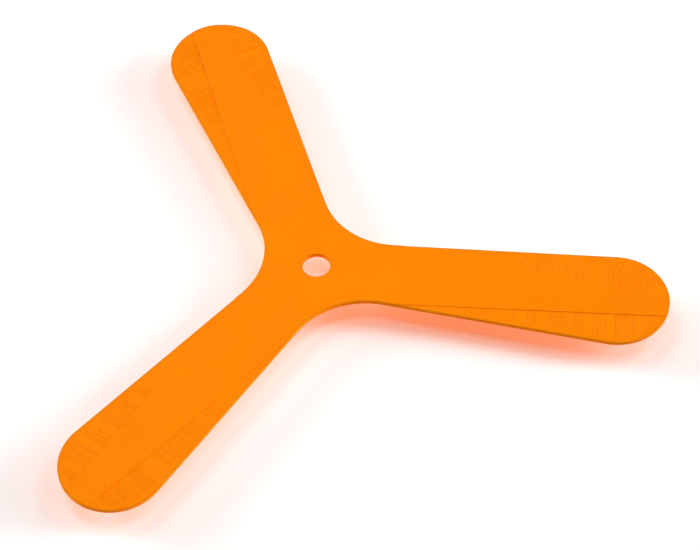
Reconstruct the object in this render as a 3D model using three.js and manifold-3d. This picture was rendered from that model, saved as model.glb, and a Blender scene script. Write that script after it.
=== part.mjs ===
// A three-bladed throwing boomerang, printed flat in one orange plastic. Millimetres, +Z up.
// The origin is the centre of the hub's hole, on the flat underside. Blade 1 points along +X, and
// blades 2 and 3 follow it counter-clockwise at equal angles.
//
// The body is a thin flat plate. Each blade widens outward between two straight edges and ends in a
// round tip, and a concave round joins it to its neighbours. The upper side of a blade keeps its full
// height on a plateau that narrows towards the tip. The two bands beside the plateau, from its sides
// to the blade's edges, lie one printed layer lower. The plate is held as four solids that meet face
// to face: a flat hub, and three blades that start where the concave rounds run out.

import * as THREE from 'three';
import { mergeVertices } from 'three/addons/utils/BufferGeometryUtils.js';
import Module from 'manifold-3d';

// Driving dimensions.
const BLADE_COUNT = 3;
const ARM_LENGTH = 125; // from the hub's centre to the end of a blade
const TIP_RADIUS = 18.8; // the round end of a blade
const EDGE_TAPER = THREE.MathUtils.degToRad(4.2); // how far each straight edge opens outward
const FILLET_RADIUS = 28.2; // the concave round between two blades
const HOLE_RADIUS = 5;
const LAYER_HEIGHT = 0.2;
const PLATE_LAYERS = 8; // the hub and the plateaus
const BAND_LAYERS = 7; // the bands beside a plateau
const BAND_START = 3; // along the edge, from the root to where the plateau's side leaves the edge
const PLATEAU_HALF_WIDTH = 6.5; // at the centre of the round tip

// How finely the round stretches are divided.
const TIP_SEGMENTS = 56;
const FILLET_SEGMENTS = 24;
const HOLE_SEGMENTS = 72;

// Heights and angles that follow from them.
const PLATE_THICKNESS = PLATE_LAYERS * LAYER_HEIGHT;
const BAND_THICKNESS = BAND_LAYERS * LAYER_HEIGHT;
const BLADE_ANGLE = (2 * Math.PI) / BLADE_COUNT;
const MERGE_DISTANCE = 1e-4;

const wasm = await Module();
wasm.setup();

// One orange plastic, and a new material for each solid.
function orangePlastic() {
  return new THREE.MeshStandardMaterial({ color: 0xff8a04, roughness: 0.45, metalness: 0 });
}

// The plan of blade 1. Its upper straight edge is the line normal . p = reach.
const tipCentre = new THREE.Vector2(ARM_LENGTH - TIP_RADIUS, 0);
const edgeNormal = new THREE.Vector2(-Math.sin(EDGE_TAPER), Math.cos(EDGE_TAPER));
const edgeDirection = new THREE.Vector2(Math.cos(EDGE_TAPER), Math.sin(EDGE_TAPER));
const edgeReach = edgeNormal.dot(tipCentre) + TIP_RADIUS;
const edgeEndAngle = Math.PI / 2 + EDGE_TAPER;

// The concave round is centred on the line halfway between two blades, and touches both edges.
const betweenBlades = new THREE.Vector2(Math.cos(BLADE_ANGLE / 2), Math.sin(BLADE_ANGLE / 2));
const filletDistance = (edgeReach + FILLET_RADIUS) / edgeNormal.dot(betweenBlades);
const filletCentre = betweenBlades.clone().multiplyScalar(filletDistance);
const rootCorner = filletCentre.clone().addScaledVector(edgeNormal, -FILLET_RADIUS);

function mirrored(point) {
  return new THREE.Vector2(point.x, -point.y);
}

// Points on an arc, both ends included. It turns the short way that toAngle - fromAngle says.
function arcPoints(centre, radius, fromAngle, toAngle, segments) {
  const points = [];
  for (let i = 0; i <= segments; i += 1) {
    const angle = THREE.MathUtils.lerp(fromAngle, toAngle, i / segments);
    points.push(new THREE.Vector2(
      centre.x + radius * Math.cos(angle),
      centre.y + radius * Math.sin(angle),
    ));
  }
  return points;
}

// The plan of a whole blade.
function bladePlan() {
  return [
    mirrored(rootCorner),
    ...arcPoints(tipCentre, TIP_RADIUS, -edgeEndAngle, edgeEndAngle, TIP_SEGMENTS),
    rootCorner,
  ];
}

// The plan of the cut that leaves one band, from the plateau's side outward. The plateau's side is a
// straight line. It leaves the blade's edge near the root and passes beside the tip's centre.
function bandCutPlan() {
  const start = rootCorner.clone().addScaledVector(edgeDirection, BAND_START);
  const direction = new THREE.Vector2(tipCentre.x, PLATEAU_HALF_WIDTH).sub(start).normalize();
  const outward = new THREE.Vector2(-direction.y, direction.x).multiplyScalar(2 * TIP_RADIUS);
  const inner = start.clone().addScaledVector(direction, -TIP_RADIUS);
  const outer = start.clone().addScaledVector(direction, ARM_LENGTH);
  return [inner, outer, outer.clone().add(outward), inner.clone().add(outward)];
}

// The hub's plan: a straight root face for each blade, joined by the concave rounds.
function hubPlan() {
  const startAngle = EDGE_TAPER - Math.PI / 2;
  const endAngle = BLADE_ANGLE - startAngle - 2 * Math.PI;
  const round = arcPoints(filletCentre, FILLET_RADIUS, startAngle, endAngle, FILLET_SEGMENTS);
  const origin = new THREE.Vector2();
  const points = [];
  for (let i = 0; i < BLADE_COUNT; i += 1) {
    points.push(...round.map((point) => point.clone().rotateAround(origin, i * BLADE_ANGLE)));
  }
  return points;
}

function slab(points, height, hole) {
  const shape = new THREE.Shape(points);
  if (hole) {
    shape.holes.push(new THREE.Path(hole));
  }
  return new THREE.ExtrudeGeometry(shape, { depth: height, bevelEnabled: false });
}

function solidOf(geometry) {
  geometry.deleteAttribute('normal');
  geometry.deleteAttribute('uv');
  const merged = mergeVertices(geometry, MERGE_DISTANCE);
  return new wasm.Manifold(new wasm.Mesh({
    numProp: 3,
    vertProperties: Float32Array.from(merged.attributes.position.array),
    triVerts: Uint32Array.from(merged.index.array),
  }));
}

function geometryOf(solid) {
  const mesh = solid.getMesh();
  const geometry = new THREE.BufferGeometry();
  geometry.setAttribute('position', new THREE.BufferAttribute(mesh.vertProperties, 3));
  geometry.setIndex(new THREE.BufferAttribute(mesh.triVerts, 1));
  geometry.computeVertexNormals();
  return geometry;
}

// The flat middle, with the round hole at its centre.
function makeHub() {
  const centre = new THREE.Vector2();
  const hole = arcPoints(centre, HOLE_RADIUS, 0, 2 * Math.PI, HOLE_SEGMENTS).slice(1);
  const hub = new THREE.Mesh(slab(hubPlan(), PLATE_THICKNESS, hole), orangePlastic());
  hub.name = 'hub';
  return hub;
}

// A full-height plate, cut down by one layer on both sides of its plateau.
function makeBlade(number) {
  let solid = solidOf(slab(bladePlan(), PLATE_THICKNESS));
  const plan = bandCutPlan();
  for (const side of [plan, plan.map(mirrored)]) {
    const cutter = slab(side, PLATE_THICKNESS).translate(0, 0, BAND_THICKNESS);
    solid = solid.subtract(solidOf(cutter));
  }
  const blade = new THREE.Mesh(geometryOf(solid), orangePlastic());
  blade.name = `blade_${number}`;
  return blade;
}

const boomerang = new THREE.Group();
boomerang.name = 'boomerang';
boomerang.add(makeHub());
for (let i = 0; i < BLADE_COUNT; i += 1) {
  const blade = makeBlade(i + 1);
  blade.rotation.z = i * BLADE_ANGLE;
  boomerang.add(blade);
}

export default boomerang;
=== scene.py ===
"""The looks of a three-bladed boomerang, printed flat in orange plastic.

Metres, Z up, in the CAD frame. The four CAD nodes are replaced by finely modelled pieces of the same
size: every printed layer bulges a little at its side, five lines of plastic follow each outline, and
the outer part of the bands beside the plateaus is filled with lines that run across them in pairs.
"""

import math

import bmesh
import bpy
from mathutils import Matrix, Vector


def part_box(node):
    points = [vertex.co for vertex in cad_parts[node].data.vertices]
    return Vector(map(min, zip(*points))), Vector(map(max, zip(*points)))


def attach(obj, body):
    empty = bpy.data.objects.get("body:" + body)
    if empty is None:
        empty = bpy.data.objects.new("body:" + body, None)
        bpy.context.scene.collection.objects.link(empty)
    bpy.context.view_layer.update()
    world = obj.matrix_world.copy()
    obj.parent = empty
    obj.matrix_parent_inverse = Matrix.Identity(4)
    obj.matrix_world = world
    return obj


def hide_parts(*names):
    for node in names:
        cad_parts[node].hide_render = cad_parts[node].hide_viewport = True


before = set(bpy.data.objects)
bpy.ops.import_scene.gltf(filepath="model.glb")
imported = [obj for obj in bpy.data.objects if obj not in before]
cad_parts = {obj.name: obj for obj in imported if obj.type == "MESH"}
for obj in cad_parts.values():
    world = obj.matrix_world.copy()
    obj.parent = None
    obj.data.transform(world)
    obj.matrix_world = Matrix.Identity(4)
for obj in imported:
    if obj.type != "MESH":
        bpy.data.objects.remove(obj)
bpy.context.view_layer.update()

MM = 0.001

# Sizes taken from the frame.
ARM_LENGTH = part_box("blade_1")[1].x
TIP_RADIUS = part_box("blade_1")[1].y
ROOT_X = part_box("blade_1")[0].x
PLATE_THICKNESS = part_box("hub")[1].z

# The rest of the design, as in the CAD.
BLADE_COUNT = 3
BLADE_ANGLE = 2 * math.pi / BLADE_COUNT
EDGE_TAPER = math.radians(4.2)
HOLE_RADIUS = 5 * MM
LAYER_HEIGHT = 0.2 * MM
BAND_START = 3 * MM
PLATEAU_HALF_WIDTH = 6.5 * MM
PLATE_LAYERS = round(PLATE_THICKNESS / LAYER_HEIGHT)
BAND_LAYERS = PLATE_LAYERS - 1

# What the print adds on top: lines that follow the outlines, and pairs of lines that fill the bands.
LINE_WIDTH = 0.435 * MM
OUTLINE_LINES = 5
OUTLINE_GROOVE = 0.02 * MM
PAIR_WIDTH = 2 * LINE_WIDTH
PAIR_GROOVE = 0.09 * MM  # the deepest groove between two pairs
LEAST_GROOVE = 0.6  # the shallowest groove, as a share of the deepest
PAIR_UNEVENNESS = 0.02 * MM  # how much lower than the next one a pair may lie
FILL_MARGIN = LINE_WIDTH / 4  # how far in from the fill's border the pairs reach their full depth
FILL_START = 0.33 * ARM_LENGTH  # along the plateau's side, from where it leaves the blade's edge
GROUP_PAIRS = 3  # how many neighbouring pairs make a group
FAINT_GROUPS = 0.2  # the share of the groups whose grooves are half as deep

# What the print adds at the sides: layers that bulge, and a steep face beside each plateau.
LAYER_BULGE = 0.05 * MM  # how deep the groove between two layers is
FLANK_HEIGHTS = (0.25, 0.75)  # where a layer's flanks are, as shares of its height
FLANK_INSET = 0.2  # how far in a layer is there, as a share of its bulge
STEP_SLOPE = 0.04 * MM  # how wide the steep face is, seen from above

# How strong the painted groove shade is on flat stretches and along the steps, from 0 to 1.
FLAT_SHADE = 0.33
STEP_SHADE = 0.0

# The painted shade along the rim: how far in it reaches on top, and how strong it is on the walls.
EDGE_SHADE_WIDTH = 1.5 * LINE_WIDTH
WALL_EDGE_SHADE = 0.1

# How finely the round stretches and the pairs of lines are divided.
TIP_SEGMENTS = 96
FILLET_SEGMENTS = 40
HOLE_SEGMENTS = 96
PAIR_SEGMENTS = 8
OUTLINE_INSETS = [i * LINE_WIDTH / 2 for i in range(2 * OUTLINE_LINES + 1)]

EPSILON = 1e-7
CUT_PRECISION = 1e-9
SHARP_ANGLE = math.radians(60)  # an edge between two walls is sharp from this angle on


# ---------------------------------------------------------------- plan geometry of one blade

def edge_normal():
    """The direction out of a blade's upper straight edge."""
    return Vector((-math.sin(EDGE_TAPER), math.cos(EDGE_TAPER)))


TIP_CENTRE = Vector((ARM_LENGTH - TIP_RADIUS, 0))
EDGE_END_ANGLE = math.pi / 2 + EDGE_TAPER
EDGE_REACH = edge_normal().dot(TIP_CENTRE) + TIP_RADIUS


def edge_y(x, inset=0.0):
    """The upper straight edge, moved inward by inset, at x."""
    return (EDGE_REACH - inset + math.sin(EDGE_TAPER) * x) / math.cos(EDGE_TAPER)


ROOT_CORNER = Vector((ROOT_X, edge_y(ROOT_X)))


def fillet_radius():
    """The concave round that touches the edge at its root, centred halfway between two blades."""
    halfway = Vector((math.cos(BLADE_ANGLE / 2), math.sin(BLADE_ANGLE / 2)))
    return -ROOT_CORNER.cross(halfway) / edge_normal().cross(halfway)


FILLET_RADIUS = fillet_radius()
FILLET_CENTRE = ROOT_CORNER + FILLET_RADIUS * edge_normal()


def on_circle(centre, radius, angle):
    return centre + radius * Vector((math.cos(angle), math.sin(angle)))


def arc(centre, radius, start, end, segments):
    steps = range(segments + 1)
    return [on_circle(centre, radius, start + (end - start) * i / segments) for i in steps]


def mirrored(point):
    return Vector((point.x, -point.y))


def turned(point, turns):
    """A point of blade 1's plan, turned to another blade's place."""
    if turns == 0:
        return point.copy()
    angle = turns * BLADE_ANGLE
    return Matrix.Rotation(angle, 2) @ point


class PlateauSide:
    """The straight side of a blade's plateau. Side is 1 or -1, for y above or below 0."""

    def __init__(self, side):
        start = ROOT_CORNER + BAND_START * Vector((math.cos(EDGE_TAPER), math.sin(EDGE_TAPER)))
        along = (Vector((TIP_CENTRE.x, PLATEAU_HALF_WIDTH)) - start).normalized()
        outward = Vector((-along.y, along.x))
        self.start, self.along, self.outward = start, along, outward
        if side < 0:
            self.start, self.along, self.outward = map(mirrored, (start, along, outward))

    def beyond(self, point):
        """How far a point lies outside the line; it is negative on the plateau."""
        return self.outward.dot(point - self.start)

    def distance_along(self, point):
        return self.along.dot(point - self.start)


PLATEAU_SIDES = {side: PlateauSide(side) for side in (1, -1)}


def side_of(point):
    return 1 if point.y >= 0 else -1


def inside_outline(point):
    """How far a point of a blade lies inside its outline, the root cut left out."""
    to_edge = EDGE_REACH - edge_normal().dot(Vector((point.x, abs(point.y))))
    from_tip = point - TIP_CENTRE
    if from_tip.length > EPSILON and abs(math.atan2(from_tip.y, from_tip.x)) < EDGE_END_ANGLE:
        return TIP_RADIUS - from_tip.length
    return to_edge


# ---------------------------------------------------------------- flat plans, cut into faces

def add_rings(plan, rings):
    """Quads between neighbouring rings, which are lists of the same number of plan vertices."""
    for outer, inner in zip(rings, rings[1:]):
        for i in range(len(outer) - 1):
            plan.faces.new((outer[i], outer[i + 1], inner[i + 1], inner[i]))


def plan_vertices(plan, points):
    return [plan.verts.new((p.x, p.y, 0)) for p in points]


def cut_faces(plan, faces, point, normal):
    """Cuts only the given faces along a straight line, and their neighbours' shared edges with them."""
    edges = {e for f in faces for e in f.edges}
    verts = {v for f in faces for v in f.verts}
    bmesh.ops.bisect_plane(
        plan,
        geom=list(verts) + list(edges) + list(faces),
        dist=CUT_PRECISION,
        plane_co=(point.x, point.y, 0),
        plane_no=(normal.x, normal.y, 0),
    )


def slice_face(plan, face, side, spacing):
    """Cuts one convex face into strips, spacing wide, that run square to a plateau's side.

    The stretch before the fill starts isn't cut.
    """
    def place(vert):
        return side.distance_along(vert.co.xy)

    lowest = min(place(v) for v in face.verts)
    highest = max(place(v) for v in face.verts)
    rest = face
    first = max(math.ceil(lowest / spacing), math.floor(FILL_START / spacing))
    for i in range(first, math.floor(highest / spacing) + 1):
        ends = []
        for edge in list(rest.edges):
            start = edge.verts[0]
            before = place(start) - i * spacing
            after = place(edge.verts[1]) - i * spacing
            if before * after < 0 and min(abs(before), abs(after)) > EPSILON:
                ends.append(bmesh.utils.edge_split(edge, start, before / (before - after))[1])
        ends += [v for v in rest.verts if abs(place(v) - i * spacing) <= EPSILON and v not in ends]
        if len(ends) != 2 or plan.edges.get(ends):
            continue
        other, _ = bmesh.utils.face_split(rest, ends[0], ends[1])
        rest = max((rest, other), key=lambda f: sum(map(place, f.verts)) / len(f.verts))


def face_middle(face):
    return face.calc_center_median().xy


# A level's number is how many layers it lies under the top.
PLATEAU, BAND = 0, 1


def blade_plan():
    """The plan of a blade, in faces that know in an integer layer whether they are on a band."""
    plan = bmesh.new()
    level_of = plan.faces.layers.int.new("level")
    rings = []
    for inset in (*OUTLINE_INSETS, OUTLINE_INSETS[-1] + FILL_MARGIN):
        corner = Vector((ROOT_X, edge_y(ROOT_X, inset)))
        tip = arc(TIP_CENTRE, TIP_RADIUS - inset, -EDGE_END_ANGLE, EDGE_END_ANGLE, TIP_SEGMENTS)
        rings.append(plan_vertices(plan, [mirrored(corner), *tip, corner]))
    add_rings(plan, rings)
    plan.faces.new(rings[-1])
    for side in PLATEAU_SIDES.values():
        cut_faces(plan, plan.faces[:], side.start, side.outward)
    for face in plan.faces:
        beyond = PLATEAU_SIDES[side_of(face_middle(face))].beyond(face_middle(face))
        face[level_of] = BAND if beyond > 0 else PLATEAU
    for sign, side in PLATEAU_SIDES.items():
        for inset in OUTLINE_INSETS[1:]:
            plateau = [f for f in plan.faces if f[level_of] == PLATEAU]
            cut_faces(plan, plateau, side.start - inset * side.outward, side.outward)
        band = [f for f in plan.faces if f[level_of] == BAND and side_of(face_middle(f)) == sign]
        cut_faces(plan, band, side.start + FILL_MARGIN * side.outward, side.outward)
        for face in [f for f in plan.faces if f[level_of] == BAND]:
            if side_of(face_middle(face)) == sign and inside_fill(face_middle(face)) > 0:
                slice_face(plan, face, side, PAIR_WIDTH / PAIR_SEGMENTS)
    return plan, level_of


def inside_fill(point):
    """How far a point on a band lies inside the part that is filled with pairs of lines."""
    from_plateau = PLATEAU_SIDES[side_of(point)].beyond(point)
    return min(inside_outline(point) - OUTLINE_LINES * LINE_WIDTH, from_plateau)


def outline_relief(depth):
    """The groove beside each line that follows an outline, depth being how far inside it a point is.

    The last line has a groove on its outer side only.
    """
    if depth > (OUTLINE_INSETS[-2] + OUTLINE_INSETS[-1]) / 2:
        return 0.0
    return OUTLINE_GROOVE * (1 + math.cos(2 * math.pi * depth / LINE_WIDTH)) / 2


# Two uneven numbers that scatter the shares below, and where the numbers for each purpose start.
SCATTER_STEP = 12.9898
SCATTER_STRETCH = 43758.5453
GROOVE_NUMBERS = 300
CREST_NUMBERS = 500
GROUP_NUMBERS = 700


def scatter(number):
    """An even-looking random share from 0 to 1, the same for the same number every time."""
    return math.sin(number * SCATTER_STEP) * SCATTER_STRETCH % 1


def fill_relief(point):
    """The rounded pairs of lines that run across a band, no two quite equally high.

    Some groups of pairs are fainter than the rest.
    """
    side = side_of(point)
    place = PLATEAU_SIDES[side].distance_along(point) / PAIR_WIDTH
    roundness = ((1 + math.cos(2 * math.pi * place)) / 2) ** 2
    depth = scatter(round(place) + GROOVE_NUMBERS * side)
    groove = PAIR_GROOVE * (LEAST_GROOVE + (1 - LEAST_GROOVE) * depth)
    if scatter(round(place) // GROUP_PAIRS + GROUP_NUMBERS * side) < FAINT_GROUPS:
        groove /= 2
    crest = PAIR_UNEVENNESS * scatter(math.floor(place) + CREST_NUMBERS * side)
    return groove * roundness + crest * (1 - roundness)


def blade_surface(point, level):
    """How far the printed surface lies under the nominal one, and how strong the painted shade on it
    is.
    """
    depth = inside_outline(point)
    if level == PLATEAU:
        sides = PLATEAU_SIDES.values()
        return outline_relief(min(depth, *(-side.beyond(point) for side in sides))), FLAT_SHADE
    if inside_fill(point) <= 0:
        return outline_relief(depth), FLAT_SHADE
    if PLATEAU_SIDES[side_of(point)].distance_along(point) < FILL_START:
        return 0.0, FLAT_SHADE
    share = min(1, inside_fill(point) / FILL_MARGIN)
    groove = fill_relief(point)
    return share * groove, FLAT_SHADE + share * (groove / PAIR_GROOVE - FLAT_SHADE)


def hub_plan():
    """The plan of the hub, all on the plateau's level.

    It has outline lines along each concave round and around the hole, and a flat middle.
    """
    plan = bmesh.new()
    level_of = plan.faces.layers.int.new("level")
    start = EDGE_TAPER - math.pi / 2
    end = BLADE_ANGLE - start - 2 * math.pi
    rounds = []
    for turn in range(BLADE_COUNT):
        rings = []
        for inset in OUTLINE_INSETS:
            points = arc(FILLET_CENTRE, FILLET_RADIUS + inset, start, end, FILLET_SEGMENTS)
            corner = Vector((ROOT_X, edge_y(ROOT_X, inset)))
            points = [turned(p, turn) for p in points[1:-1]]
            points = [turned(corner, turn), *points, turned(mirrored(corner), (turn + 1) % BLADE_COUNT)]
            rings.append(plan_vertices(plan, points))
        add_rings(plan, rings)
        rounds.append(rings[-1])
    rings = []
    for inset in OUTLINE_INSETS:
        points = arc(Vector((0, 0)), HOLE_RADIUS + inset, 0, -2 * math.pi, HOLE_SEGMENTS)
        ring = plan_vertices(plan, points[:-1])
        rings.append([*ring, ring[0]])
    add_rings(plan, rings)
    add_hub_sectors(plan, rounds, rings[-1][:-1])
    return plan, level_of


def add_hub_sectors(plan, rounds, hole_ring):
    """The flat middle, as one face for each blade, split on the lines halfway between blades."""
    middle = FILLET_SEGMENTS // 2
    sector = HOLE_SEGMENTS // BLADE_COUNT
    for turn in range(BLADE_COUNT):
        before, after = rounds[turn - 1], rounds[turn]
        outer = before[middle:] + after[:middle + 1]
        first = (-turn * sector - sector // 2) % HOLE_SEGMENTS
        inner = [hole_ring[(first + i) % HOLE_SEGMENTS] for i in range(sector + 1)]
        plan.faces.new(outer + inner)


def inside_hub(point):
    """How far a point of the hub lies from its concave rounds and its hole."""
    rounds = [turned(FILLET_CENTRE, turn) for turn in range(BLADE_COUNT)]
    from_rounds = [(point - centre).length - FILLET_RADIUS for centre in rounds]
    return min(point.length - HOLE_RADIUS, *from_rounds)


def hub_surface(point, level):
    """What blade_surface says, for the hub."""
    return outline_relief(inside_hub(point)), FLAT_SHADE


# ---------------------------------------------------------------- from a plan to a closed solid

# The material slot of the faces on a root cut. All other faces are in slot 0.
CUT_SLOT = 1


class Lifter:
    """Builds the closed printed body over a plan. A root cut is a straight face to a neighbour."""

    def __init__(self, plan, level_of, surface, inside, root_cuts):
        self.plan = plan
        self.level_of = level_of
        self.surface = surface
        self.inside = inside
        self.root_cuts = root_cuts
        self.body = bmesh.new()
        # Vertex attributes for painted shade: how strongly the colour is darkened as in a groove, and
        # along the rim.
        self.groove = self.body.verts.layers.float.new("groove")
        self.edge_shade = self.body.verts.layers.float.new("edge_shade")
        self.made = {}
        self.levels = {}
        self.outward = {}
        for face in plan.faces:
            for vert in face.verts:
                self.levels.setdefault(vert, set()).add(face[level_of])

    def cut_at(self, vert):
        """Which root cut a plan vertex lies on, or None."""
        for turn in self.root_cuts:
            if abs(turned(vert.co.xy, -turn).x - ROOT_X) < EPSILON:
                return turn
        return None

    def is_cut(self, edge):
        return edge.is_boundary and self.cut_at(edge.verts[0]) is not None \
            and self.cut_at(edge.verts[0]) == self.cut_at(edge.verts[1])

    def walls(self):
        """(edge's first vertex, second vertex, upper level, lower level or None at the outline)."""
        found = []
        for edge in self.plan.edges:
            if self.is_cut(edge):
                continue
            loops = sorted(edge.link_loops, key=lambda loop: loop.face[self.level_of])
            levels = [loop.face[self.level_of] for loop in loops]
            if len(loops) == 1 or levels[0] != levels[1]:
                a, b = loops[0].vert, loops[0].link_loop_next.vert
                found.append((a, b, levels[0], levels[1] if len(loops) == 2 else None))
        return found

    def find_outward(self, walls):
        for a, b, _, _ in walls:
            along = (b.co - a.co).xy
            out = Vector((along.y, -along.x))
            for vert in (a, b):
                self.outward[vert] = self.outward.get(vert, Vector((0, 0))) + out.normalized()
        for vert, out in self.outward.items():
            turn = self.cut_at(vert)
            if turn is not None:
                along_cut = turned(Vector((0, 1)), turn)
                out = along_cut * (1 if out.dot(along_cut) > 0 else -1)
            self.outward[vert] = out.normalized()

    # The last two arguments say how strongly painted shade darkens this vertex: as in a groove, and
    # along the rim.
    def vert(self, key, plan_vert, z, inset, groove=FLAT_SHADE, edge_shade=WALL_EDGE_SHADE):
        if key not in self.made:
            place = plan_vert.co.xy - inset * self.outward.get(plan_vert, Vector((0, 0)))
            self.made[key] = self.body.verts.new((place.x, place.y, z))
            self.made[key][self.groove] = groove
            self.made[key][self.edge_shade] = edge_shade
        return self.made[key]

    def on_step(self, plan_vert):
        """Whether a plan vertex lies on the side of a plateau."""
        return len(self.levels[plan_vert]) > 1

    def top(self, plan_vert, level):
        depth, groove = self.surface(plan_vert.co.xy, level)
        z = (PLATE_LAYERS - level) * LAYER_HEIGHT - depth
        inset = LAYER_BULGE
        # On a plateau's side the painted groove shade takes the step's strength.
        if self.on_step(plan_vert):
            inset, groove = (STEP_SLOPE if level == PLATEAU else 0), STEP_SHADE
        # The painted shade along the rim fades out from the outline inward.
        edge_shade = max(0, 1 - self.inside(plan_vert.co.xy) / EDGE_SHADE_WIDTH)
        return self.vert((plan_vert, level), plan_vert, z, inset, groove, edge_shade)

    def boundary(self, plan_vert, layers):
        """The vertex at the top of so many layers: a level's own, or in the groove between layers."""
        if layers == 0:
            return self.vert((plan_vert, "under"), plan_vert, 0.0, LAYER_BULGE)
        level = PLATE_LAYERS - layers
        if level in self.levels[plan_vert]:
            return self.top(plan_vert, level)
        return self.vert((plan_vert, "groove", layers), plan_vert, layers * LAYER_HEIGHT, LAYER_BULGE)

    def column(self, plan_vert, lowest, highest):
        """Vertices up a wall, from the top of the lowest layer to the top of the highest."""
        verts = [self.boundary(plan_vert, lowest)]
        for layer in range(lowest + 1, highest + 1):
            for share in FLANK_HEIGHTS:
                z = (layer - 1 + share) * LAYER_HEIGHT
                inset = FLANK_INSET * LAYER_BULGE
                if self.on_step(plan_vert) and layer > BAND_LAYERS:
                    inset = share * STEP_SLOPE
                key = (plan_vert, "side", layer, share)
                verts.append(self.vert(key, plan_vert, z, inset))
            verts.append(self.boundary(plan_vert, layer))
        return verts

    def build(self):
        walls = self.walls()
        self.find_outward(walls)
        tops = []
        for face in self.plan.faces:
            level = face[self.level_of]
            tops.append(self.body.faces.new([self.top(v, level) for v in face.verts]))
        sides = []
        for a, b, upper, lower in walls:
            lowest = 0 if lower is None else PLATE_LAYERS - lower
            low_a = self.column(a, lowest, PLATE_LAYERS - upper)
            low_b = self.column(b, lowest, PLATE_LAYERS - upper)
            for i in range(len(low_a) - 1):
                sides.append(self.body.faces.new((low_a[i], low_b[i], low_b[i + 1], low_a[i + 1])))
        for turn in self.root_cuts:
            self.close_cut(turn)
        under = [e for e in self.body.edges if e.is_boundary]
        bmesh.ops.triangle_fill(self.body, use_beauty=True, edges=under, normal=(0, 0, -1))
        for face in tops:
            face.smooth = False
        for face in sides:
            face.smooth = True
        self.body.normal_update()
        return self.body

    def close_cut(self, turn):
        """The flat face on a root cut."""
        on_cut = [v for v in self.plan.verts if self.cut_at(v) == turn]
        on_cut.sort(key=lambda v: turned(v.co.xy, -turn).y)
        low, high = on_cut[0], on_cut[-1]
        loop = self.column(low, 0, PLATE_LAYERS)[::-1]
        loop += self.column(high, 0, PLATE_LAYERS)
        loop += [self.top(v, 0) for v in on_cut[-2:0:-1]]
        self.body.faces.new(loop).material_index = CUT_SLOT


def finished_object(name, body, turn):
    """A mesh object with outward normals, turned to its blade's place."""
    for vert in body.verts:
        place = turned(vert.co.xy, turn)
        vert.co = (place.x, place.y, vert.co.z)
    bmesh.ops.recalc_face_normals(body, faces=body.faces)
    if body.calc_volume(signed=True) < 0:
        bmesh.ops.reverse_faces(body, faces=body.faces)
    for edge in body.edges:
        flat = not all(f.smooth for f in edge.link_faces)
        edge.smooth = not flat and edge.calc_face_angle(0) < SHARP_ANGLE
    mesh = bpy.data.meshes.new(name)
    body.to_mesh(mesh)
    piece = bpy.data.objects.new(name, mesh)
    bpy.context.scene.collection.objects.link(piece)
    return piece


def make_hub():
    plan, level_of = hub_plan()
    body = Lifter(plan, level_of, hub_surface, inside_hub, range(BLADE_COUNT)).build()
    return finished_object("printed_hub", body, 0)


def make_blade(number):
    plan, level_of = blade_plan()
    body = Lifter(plan, level_of, blade_surface, inside_outline, (0,)).build()
    return finished_object(f"printed_blade_{number}", body, number - 1)


# ---------------------------------------------------------------- materials

# The plastic's two orange tones, and what its colour is multiplied by for the painted shade in a groove
# and along the rim.
ORANGES = ((0.95, 0.236, 0.0, 1), (0.95, 0.253, 0.0, 1))
GROOVE_SHADE_TINT = (0.85, 0.58, 0.4, 1)
EDGE_SHADE_TINT = (0.62, 0.9, 1, 1)
GLOSS_TINT = (1.0, 0.4, 0.0, 1)
REFRACTION = 1.46
GLOSS = 0.3
ROUGHNESS = (0.42, 0.58)

# The plastic's noises: how many lumps a metre holds, and the middle part of a noise's values.
CLOUDS_PER_METRE = 60
SHADE_PATCHES_PER_METRE = 1200
GRAINS_PER_METRE = 2500
NOISE_MIDDLE = (0.35, 0.65)
# The range that scales the painted groove shade from patch to patch.
GROOVE_SHADE_PATCHINESS = (0.6, 1.3)

WHITE = (1, 1, 1, 1)
FLOOR_ROUGHNESS = 0.8

# What light keeps of its red, green and blue at each face that it crosses.
PRINT_TINT = (0.64, 0.31, 0.0)
NO_TINT = (1.0, 1.0, 1.0)


class Nodes:
    """A small helper that adds and links shader nodes."""

    def __init__(self, name):
        self.material = bpy.data.materials.new(name)
        self.material.use_nodes = True
        self.tree = self.material.node_tree
        self.tree.nodes.clear()

    def add(self, kind, **settings):
        node = self.tree.nodes.new(kind)
        for key, value in settings.items():
            setattr(node, key, value)
        return node

    def link(self, source, target):
        self.tree.links.new(source, target)

    def product(self, a, b):
        """One socket's value times another's, held between 0 and 1."""
        node = self.add("ShaderNodeMath", operation="MULTIPLY", use_clamp=True)
        self.link(a, node.inputs[0])
        self.link(b, node.inputs[1])
        return node.outputs[0]


def noise(n, scale, detail=2):
    """A noise fixed to the object, as a socket with values around 0.5."""
    node = n.add("ShaderNodeTexNoise")
    node.inputs["Scale"].default_value = scale
    node.inputs["Detail"].default_value = detail
    n.link(n.add("ShaderNodeTexCoord").outputs["Object"], node.inputs["Vector"])
    return node.outputs["Fac"]


def mapped(n, value, from_range, to_range):
    """A value moved from one range to another, as a socket."""
    node = n.add("ShaderNodeMapRange")
    node.inputs["From Min"].default_value, node.inputs["From Max"].default_value = from_range
    node.inputs["To Min"].default_value, node.inputs["To Max"].default_value = to_range
    n.link(value, node.inputs["Value"])
    return node.outputs["Result"]


def tinted(n, colour, tint, share):
    """A colour multiplied by a tint, as far as share says, as a socket."""
    node = n.add("ShaderNodeMix", data_type="RGBA", blend_type="MULTIPLY")
    n.link(share, node.inputs["Factor"])
    n.link(colour, node.inputs["A"])
    node.inputs["B"].default_value = tint
    return node.outputs["Result"]


def orange_clouds(n):
    """Soft clouds between the two orange tones."""
    ramp = n.add("ShaderNodeValToRGB")
    for element, position, tone in zip(ramp.color_ramp.elements, NOISE_MIDDLE, ORANGES):
        element.position = position
        element.color = tone
    n.link(noise(n, CLOUDS_PER_METRE, detail=3), ramp.inputs["Fac"])
    return ramp.outputs["Color"]


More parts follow.
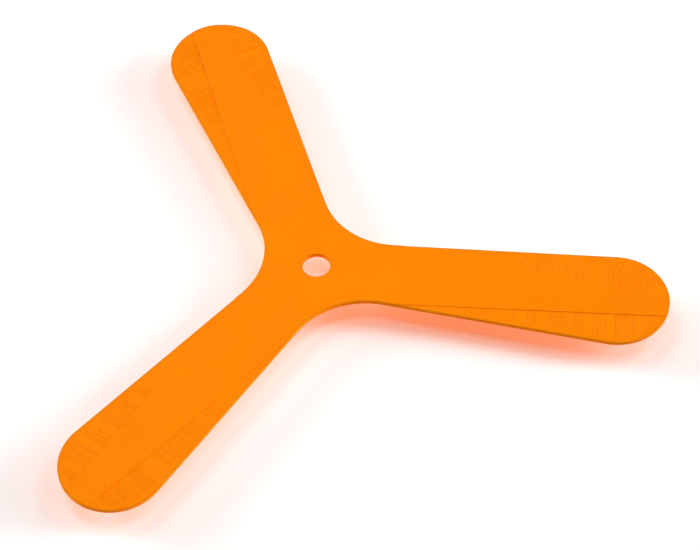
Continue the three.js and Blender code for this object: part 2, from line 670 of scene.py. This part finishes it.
def plastic_shader(n):
    """The printed orange plastic, with painted shade in its grooves and along its rim, as a shader
    socket.
    """
    shader = n.add("ShaderNodeBsdfPrincipled")
    # Painted shade: the colour is darkened in grooves, on flats and steps, in patches, and along the
    # rim, as far as the vertex attributes say.
    groove = n.add("ShaderNodeAttribute", attribute_name="groove").outputs["Fac"]
    edge_shade = n.add("ShaderNodeAttribute", attribute_name="edge_shade").outputs["Fac"]
    shade_patchiness = mapped(n, noise(n, SHADE_PATCHES_PER_METRE), NOISE_MIDDLE, GROOVE_SHADE_PATCHINESS)
    colour = tinted(n, orange_clouds(n), GROOVE_SHADE_TINT, n.product(groove, shade_patchiness))
    n.link(tinted(n, colour, EDGE_SHADE_TINT, edge_shade), shader.inputs["Base Color"])
    n.link(mapped(n, noise(n, GRAINS_PER_METRE), (0, 1), ROUGHNESS), shader.inputs["Roughness"])
    shader.inputs["Specular Tint"].default_value = GLOSS_TINT
    shader.inputs["IOR"].default_value = REFRACTION
    shader.inputs["Specular IOR Level"].default_value = GLOSS
    return shader.outputs["BSDF"]


def thin_plastic(name, tint):
    """Orange plastic that a lamp's light partly passes through, tinted at each face that it crosses.

    Only shadow rays meet the clear shader. To the eye the plastic is opaque.
    """
    n = Nodes(name)
    out = n.add("ShaderNodeOutputMaterial")
    clear = n.add("ShaderNodeBsdfTransparent")
    clear.inputs["Color"].default_value = (*tint, 1)
    both = n.add("ShaderNodeMixShader")
    n.link(n.add("ShaderNodeLightPath").outputs["Is Shadow Ray"], both.inputs["Fac"])
    n.link(plastic_shader(n), both.inputs[1])
    n.link(clear.outputs["BSDF"], both.inputs[2])
    n.link(both.outputs["Shader"], out.inputs["Surface"])
    return n.material


def floor_white():
    """Plain matt white."""
    n = Nodes("floor_white")
    out = n.add("ShaderNodeOutputMaterial")
    shader = n.add("ShaderNodeBsdfPrincipled")
    n.link(shader.outputs["BSDF"], out.inputs["Surface"])
    shader.inputs["Base Color"].default_value = WHITE
    shader.inputs["Roughness"].default_value = FLOOR_ROUGHNESS
    return n.material


# ---------------------------------------------------------------- stage, light and camera

FLOOR_DROP = 8 * MM
FLOOR_SIZE = 60 * ARM_LENGTH


def make_floor():
    """A wide white square under the part. The gap between them lets the shade spread."""
    mesh = bpy.data.meshes.new("floor")
    half = FLOOR_SIZE / 2
    corners = [(-half, -half), (half, -half), (half, half), (-half, half)]
    mesh.from_pydata([(x, y, -FLOOR_DROP) for x, y in corners], [], [(0, 1, 2, 3)])
    floor = bpy.data.objects.new("floor", mesh)
    bpy.context.scene.collection.objects.link(floor)
    mesh.materials.append(floor_white())


SOFTBOX_DISTANCE = 4.0
SOFTBOX_SIZE = 2.0
SPOT_HEIGHT = 1.0
SPOT_RADIUS = 0.15
SPOT_CONE = math.radians(18)
WORLD_BRIGHTNESS = 0.05


def add_lamp(light, place):
    """Puts a light at a place, facing the origin."""
    lamp = bpy.data.objects.new(light.name, light)
    lamp.location = place
    lamp.rotation_euler = (-place).to_track_quat("-Z", "Y").to_euler()
    bpy.context.scene.collection.objects.link(lamp)


def softbox(name, azimuth, elevation, brightness):
    """A round softbox. Azimuth is counted from +X towards +Y, and both angles are in degrees.

    Brightness is about what it adds to the open floor, where 1 is the white of the picture.
    """
    azimuth, elevation = math.radians(azimuth), math.radians(elevation)
    light = bpy.data.lights.new(name, "AREA")
    light.shape = "DISK"
    light.size = SOFTBOX_SIZE
    light.energy = brightness * (math.pi * SOFTBOX_DISTANCE) ** 2 / math.sin(elevation)
    across = SOFTBOX_DISTANCE * math.cos(elevation)
    height = SOFTBOX_DISTANCE * math.sin(elevation)
    add_lamp(light, Vector((across * math.cos(azimuth), across * math.sin(azimuth), height)))


def overhead_spot(brightness):
    """A narrow soft spot over the hub. Brightness is what it would add under it, were it a point."""
    light = bpy.data.lights.new("overhead_spot", "SPOT")
    light.energy = brightness * (2 * math.pi * SPOT_HEIGHT) ** 2
    light.spot_size = SPOT_CONE
    light.spot_blend = 1
    light.shadow_soft_size = SPOT_RADIUS
    add_lamp(light, Vector((0, 0, SPOT_HEIGHT)))


def make_lights():
    """Low and high softboxes to the right and left, one in front, and a spot over the hub."""
    world = bpy.data.worlds.new("studio")
    world.use_nodes = True
    background = world.node_tree.nodes["Background"]
    background.inputs["Color"].default_value = WHITE
    background.inputs["Strength"].default_value = WORLD_BRIGHTNESS
    bpy.context.scene.world = world
    softbox("right_low_softbox", 18, 14, 0.31)
    softbox("right_high_softbox", 35, 45, 0.2)
    softbox("left_low_softbox", 165, 14, 0.26)
    softbox("left_high_softbox", 140, 55, 0.2)
    softbox("front_softbox", 265, 20, 0.07)
    overhead_spot(0.22)
    bpy.context.scene.view_settings.view_transform = "Standard"


# The view: its lens, the direction and distance of the camera from the view's centre, and its roll.
LENS_MM = 126
CLIP_RANGE = (0.01, 100)
VIEW_AZIMUTH = math.radians(11.68)
VIEW_ELEVATION = math.radians(52.35)
VIEW_ROLL = math.radians(-2.865)
VIEW_DISTANCE = 6.924 * ARM_LENGTH
VIEW_CENTRE = Vector((0.1001 * ARM_LENGTH, -0.0208 * ARM_LENGTH, PLATE_THICKNESS))


def make_camera():
    """A long lens that looks down at the part from the front, rolled a little."""
    back = Vector((
        math.sin(VIEW_AZIMUTH) * math.cos(VIEW_ELEVATION),
        -math.cos(VIEW_AZIMUTH) * math.cos(VIEW_ELEVATION),
        math.sin(VIEW_ELEVATION),
    ))
    right = Vector((math.cos(VIEW_AZIMUTH), math.sin(VIEW_AZIMUTH), 0))
    up = back.cross(right)
    rolled_right = math.cos(VIEW_ROLL) * right + math.sin(VIEW_ROLL) * up
    rolled_up = math.cos(VIEW_ROLL) * up - math.sin(VIEW_ROLL) * right
    turn = Matrix((rolled_right, rolled_up, back)).transposed()
    data = bpy.data.cameras.new("camera")
    data.lens = LENS_MM
    data.clip_start, data.clip_end = CLIP_RANGE
    camera = bpy.data.objects.new("camera", data)
    camera.matrix_world = Matrix.Translation(VIEW_CENTRE + VIEW_DISTANCE * back) @ turn.to_4x4()
    bpy.context.scene.collection.objects.link(camera)
    bpy.context.scene.camera = camera


make_camera()
make_floor()
make_lights()
plastic = thin_plastic("orange_print", PRINT_TINT)
cut = thin_plastic("orange_cut", NO_TINT)
pieces = {"hub": make_hub()}
for number in range(1, BLADE_COUNT + 1):
    pieces[f"blade_{number}"] = make_blade(number)
for node, piece in pieces.items():
    piece.data.materials.append(plastic)
    piece.data.materials.append(cut)
    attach(piece, "root")
    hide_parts(node)
